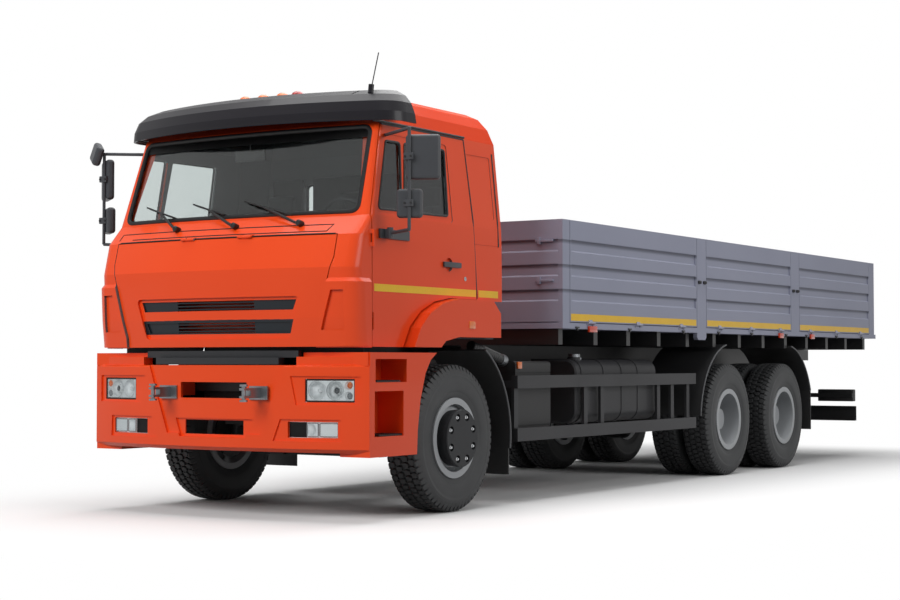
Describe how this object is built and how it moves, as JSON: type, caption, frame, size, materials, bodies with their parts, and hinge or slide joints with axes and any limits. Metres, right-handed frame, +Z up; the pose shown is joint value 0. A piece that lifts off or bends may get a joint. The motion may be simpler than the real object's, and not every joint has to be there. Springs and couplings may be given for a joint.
{
  "type": "flatbed truck",
  "caption": "Cab-over six-wheel-drive-layout flatbed truck with a tilting cab, steered front wheels, twin rear wheels and a drop-side load bed.",
  "frame": {"origin": "on the ground under the middle of the whole truck, mirrors and hinges included", "axes": "+X to the truck's left, +Y rearwards, +Z up"},
  "size_m": [3.1695, 10.7509, 3.2828],
  "materials": {
    "cab_paint": "gloss orange-red cab paint",
    "bed_paint": "satin lilac-grey bed paint",
    "chassis_paint": "satin black chassis paint",
    "dark_plastic": "grained charcoal plastic",
    "visor_plastic": "smoked plastic",
    "wheel_silver": "silver-painted steel wheel",
    "tyre": "black tyre rubber",
    "cast_iron": "dark castings",
    "spring_steel": "black spring steel",
    "zinc": "zinc-plated fittings",
    "lamp_glass": "clear lamp covers",
    "cab_glass": "lightly tinted glass",
    "deck_steel": "scuffed bed floor",
    "seat_fabric": "dark grey seat cloth",
    "trim_plastic": "dashboard plastic",
    "rubber": "mudguard rubber and plastic"
  },
  "bodies": {
    "chassis": {"frame_rails": "chassis_paint", "cross_members": "chassis_paint", "bed_frame": "chassis_paint", "powertrain": "cast_iron", "axles": "cast_iron", "leaf_springs": "spring_steel", "bumper": "cab_paint", "lamps": "lamp_glass", "tow_gear": "zinc", "front_band": "dark_plastic", "step_panels": "cab_paint", "mudguards": "rubber", "fuel_tank": "chassis_paint", "side_boxes": "dark_plastic", "air_tanks": "chassis_paint", "side_guard_rails": "chassis_paint", "side_guard_posts": "chassis_paint", "underrun_guard": "chassis_paint", "deck": "deck_steel", "headboard": "bed_paint", "bed_posts": "bed_paint"},
    "cab": {"cab_roof": "cab_paint", "cab_rear_wall": "cab_paint", "cab_sides": "cab_paint", "cab_front": "cab_paint", "cab_glass": "cab_glass", "cab_floor": "dark_plastic", "wheel_arch_flares": "cab_paint", "seats": "seat_fabric", "dashboard": "trim_plastic", "sun_visor": "visor_plastic"},
    "front_panel": {"front_panel": "cab_paint"},
    "tie_rod": {"tie_rod": "cast_iron"},
    "tailgate": {"tailgate": "bed_paint"},
    "door_left": {"door_left": "cab_paint", "door_glass_left": "cab_glass", "mirrors_left": "dark_plastic"},
    "knuckle_left": {"knuckle_left": "cast_iron"},
    "front_wheel_left": {"tyre_front_left": "tyre", "rim_front_left": "wheel_silver"},
    "middle_wheels_left": {"tyres_middle_left": "tyre", "rims_middle_left": "wheel_silver"},
    "rear_wheels_left": {"tyres_rear_left": "tyre", "rims_rear_left": "wheel_silver"},
    "side_board_front_left": {"side_board_front_left": "bed_paint"},
    "side_board_middle_left": {"side_board_middle_left": "bed_paint"},
    "side_board_rear_left": {"side_board_rear_left": "bed_paint"},
    "door_right": {"door_right": "cab_paint", "door_glass_right": "cab_glass", "mirrors_right": "dark_plastic"},
    "knuckle_right": {"knuckle_right": "cast_iron"},
    "front_wheel_right": {"tyre_front_right": "tyre", "rim_front_right": "wheel_silver"},
    "middle_wheels_right": {"tyres_middle_right": "tyre", "rims_middle_right": "wheel_silver"},
    "rear_wheels_right": {"tyres_rear_right": "tyre", "rims_rear_right": "wheel_silver"},
    "side_board_front_right": {"side_board_front_right": "bed_paint"},
    "side_board_middle_right": {"side_board_middle_right": "bed_paint"},
    "side_board_rear_right": {"side_board_rear_right": "bed_paint"}
  },
  "joints": [
    {"name": "cab_tilt", "type": "hinge", "parent": "chassis", "child": "cab", "pos_m": [0, -4.9475, 0.9], "axis": [1, 0, 0], "range_deg": [0, 42]},
    {"name": "front_panel_lift", "type": "hinge", "parent": "cab", "child": "front_panel", "pos_m": [0, -5.16016, 1.974], "axis": [-1, 0, 0], "range_deg": [0, 70]},
    {"name": "door_left_swing", "type": "hinge", "parent": "cab", "child": "door_left", "pos_m": [1.177, -4.8935, 1.7], "axis": [0, 0, -1], "range_deg": [0, 75]},
    {"name": "steer_left", "type": "hinge", "parent": "chassis", "child": "knuckle_left", "pos_m": [0.86, -3.8475, 0.542], "axis": [0, 0, 1], "range_deg": [-35, 35]},
    {"name": "front_wheel_left_roll", "type": "hinge", "parent": "knuckle_left", "child": "front_wheel_left", "pos_m": [1.05, -3.8475, 0.542], "axis": [1, 0, 0], "continuous": true},
    {"name": "middle_wheels_left_roll", "type": "hinge", "parent": "chassis", "child": "middle_wheels_left", "pos_m": [0.91, 1.1225, 0.542], "axis": [1, 0, 0], "continuous": true},
    {"name": "rear_wheels_left_roll", "type": "hinge", "parent": "chassis", "child": "rear_wheels_left", "pos_m": [0.91, 2.5625, 0.542], "axis": [1, 0, 0], "continuous": true},
    {"name": "side_board_front_left_drop", "type": "hinge", "parent": "chassis", "child": "side_board_front_left", "pos_m": [1.262, -0.96, 1.421], "axis": [0, 1, 0], "range_deg": [0, 180]},
    {"name": "side_board_middle_left_drop", "type": "hinge", "parent": "chassis", "child": "side_board_middle_left", "pos_m": [1.262, 1.579, 1.421], "axis": [0, 1, 0], "range_deg": [0, 180]},
    {"name": "side_board_rear_left_drop", "type": "hinge", "parent": "chassis", "child": "side_board_rear_left", "pos_m": [1.262, 4.0135, 1.421], "axis": [0, 1, 0], "range_deg": [0, 180]},
    {"name": "door_right_swing", "type": "hinge", "parent": "cab", "child": "door_right", "pos_m": [-1.177, -4.8935, 1.7], "axis": [0, 0, 1], "range_deg": [0, 75]},
    {"name": "steer_right", "type": "hinge", "parent": "chassis", "child": "knuckle_right", "pos_m": [-0.86, -3.8475, 0.542], "axis": [0, 0, 1], "range_deg": [-35, 35]},
    {"name": "front_wheel_right_roll", "type": "hinge", "parent": "knuckle_right", "child": "front_wheel_right", "pos_m": [-1.05, -3.8475, 0.542], "axis": [1, 0, 0], "continuous": true},
    {"name": "middle_wheels_right_roll", "type": "hinge", "parent": "chassis", "child": "middle_wheels_right", "pos_m": [-0.91, 1.1225, 0.542], "axis": [1, 0, 0], "continuous": true},
    {"name": "rear_wheels_right_roll", "type": "hinge", "parent": "chassis", "child": "rear_wheels_right", "pos_m": [-0.91, 2.5625, 0.542], "axis": [1, 0, 0], "continuous": true},
    {"name": "side_board_front_right_drop", "type": "hinge", "parent": "chassis", "child": "side_board_front_right", "pos_m": [-1.262, -0.96, 1.421], "axis": [0, -1, 0], "range_deg": [0, 180]},
    {"name": "side_board_middle_right_drop", "type": "hinge", "parent": "chassis", "child": "side_board_middle_right", "pos_m": [-1.262, 1.579, 1.421], "axis": [0, -1, 0], "range_deg": [0, 180]},
    {"name": "side_board_rear_right_drop", "type": "hinge", "parent": "chassis", "child": "side_board_rear_right", "pos_m": [-1.262, 4.0135, 1.421], "axis": [0, -1, 0], "range_deg": [0, 180]},
    {"name": "tie_rod_pivot", "type": "hinge", "parent": "knuckle_left", "child": "tie_rod", "pos_m": [0.86, -3.5675, 0.4242], "axis": [0, 0, 1], "range_deg": [-35, 35]},
    {"name": "tailgate_drop", "type": "hinge", "parent": "chassis", "child": "tailgate", "pos_m": [0, 5.3645, 1.421], "axis": [-1, 0, 0], "range_deg": [0, 180]}
  ],
  "couplings": [
    {"joint": "steer_right", "follows": "steer_left", "ratio": 1},
    {"joint": "tie_rod_pivot", "follows": "steer_left", "ratio": -1}
  ]
}
